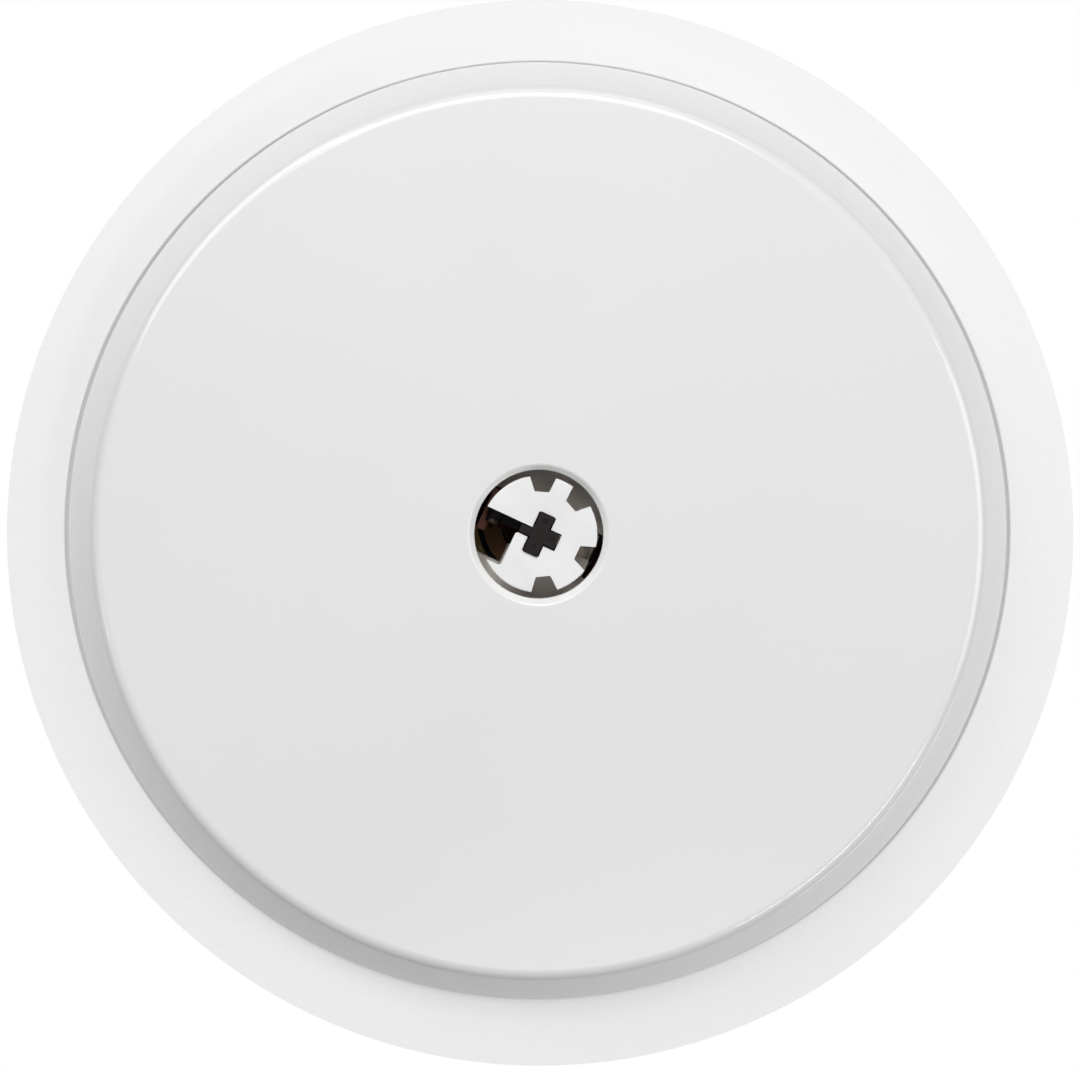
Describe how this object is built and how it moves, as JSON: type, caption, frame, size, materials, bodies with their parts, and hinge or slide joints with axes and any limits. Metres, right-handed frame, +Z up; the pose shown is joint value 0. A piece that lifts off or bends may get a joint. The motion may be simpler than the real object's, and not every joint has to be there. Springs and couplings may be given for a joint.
{
  "type": "fire sprinkler head",
  "caption": "Flush pendent fire sprinkler: round white cover plate, notched drop-down deflector in a small central opening, lever-and-link trigger and a threaded brass body above the ceiling.",
  "frame": {"origin": "the sprinkler's axis in the plane of the ceiling, where the cover plate's rim rests", "axes": "+Z up along the sprinkler's axis, out of the inlet thread; the cover plate's face looks along -Z; the levers lie in the upright plane turned -155 degrees from +X"},
  "size_m": [0.0856, 0.0856, 0.0394],
  "materials": {
    "brass_body": "machined, dull",
    "sealing_fibre": "pressed fibre, matte",
    "bronze_plate": "tarnished bronze, satin",
    "spring_steel": "blued spring steel",
    "stainless_pin": "ground",
    "white_deflector": "white coating, satin",
    "black_coated": "black polymer coating, semi-matte",
    "solder": "eutectic solder, dull",
    "lever_bronze": "tarnished bronze",
    "button_brass": "turned",
    "disc_spring": "nickel spring with a dark polymer film",
    "white_paint": "white gloss enamel",
    "sleeve_steel": "zinc plated"
  },
  "bodies": {
    "housing": {"sprinkler_body": "brass_body", "sealing_washer": "sealing_fibre", "guide_ring": "bronze_plate", "retaining_ring": "spring_steel", "guide_bush_a": "bronze_plate", "guide_bush_b": "bronze_plate"},
    "escutcheon": {"escutcheon_plate": "white_paint", "escutcheon_sleeve": "sleeve_steel"},
    "deflector": {"deflector": "white_deflector", "guide_pin_a": "stainless_pin", "guide_pin_b": "stainless_pin", "pin_clip_a": "spring_steel", "pin_clip_b": "spring_steel"},
    "trigger": {"fusible_key": "black_coated", "solder_sleeve": "solder"},
    "lever_a": {"lever_a": "lever_bronze", "link_pin_a": "stainless_pin"},
    "lever_b": {"lever_b": "lever_bronze", "link_pin_b": "stainless_pin"},
    "link_a": {"link_arm_a": "black_coated"},
    "link_b": {"link_arm_b": "black_coated"},
    "seal": {"bridge": "lever_bronze", "compression_screw": "stainless_pin", "valve_button": "button_brass", "belleville_washer": "disc_spring", "ejector_spring": "spring_steel"}
  },
  "joints": [
    {"name": "escutcheon_adjust", "type": "slide", "parent": "housing", "child": "escutcheon", "axis": [0, 0, -1], "range_m": [0, 0.0032]},
    {"name": "deflector_drop", "type": "slide", "parent": "housing", "child": "deflector", "axis": [0, 0, -1], "range_m": [0, 0.0127]},
    {"name": "key_fall", "type": "slide", "parent": "deflector", "child": "trigger", "axis": [0, 0, -1], "range_m": [0, 0.01]},
    {"name": "lever_a_swing", "type": "hinge", "parent": "housing", "child": "lever_a", "pos_m": [-0.0058, -0.0027, 0.0145], "axis": [-0.4226, 0.9063, 0], "range_deg": [0, 6]},
    {"name": "lever_b_swing", "type": "hinge", "parent": "housing", "child": "lever_b", "pos_m": [0.0058, 0.0027, 0.0145], "axis": [0.4226, -0.9063, 0], "range_deg": [0, 6]},
    {"name": "link_a_swing", "type": "hinge", "parent": "lever_a", "child": "link_a", "pos_m": [-0.00381, -0.00178, 0], "axis": [-0.4226, 0.9063, 0], "range_deg": [0, 66]},
    {"name": "link_b_swing", "type": "hinge", "parent": "lever_b", "child": "link_b", "pos_m": [0.00381, 0.00178, 0], "axis": [0.4226, -0.9063, 0], "range_deg": [0, 66]},
    {"name": "seal_release", "type": "slide", "parent": "housing", "child": "seal", "axis": [0, 0, -1], "range_m": [0, 0.00022]}
  ],
  "couplings": [
    {"joint": "lever_a_swing", "follows": "deflector_drop", "rad_per_m": 8.2456},
    {"joint": "lever_b_swing", "follows": "deflector_drop", "rad_per_m": 8.2456},
    {"joint": "link_a_swing", "follows": "deflector_drop", "rad_per_m": 90.701},
    {"joint": "link_b_swing", "follows": "deflector_drop", "rad_per_m": 90.701},
    {"joint": "seal_release", "follows": "deflector_drop", "ratio": 0.017323}
  ]
}
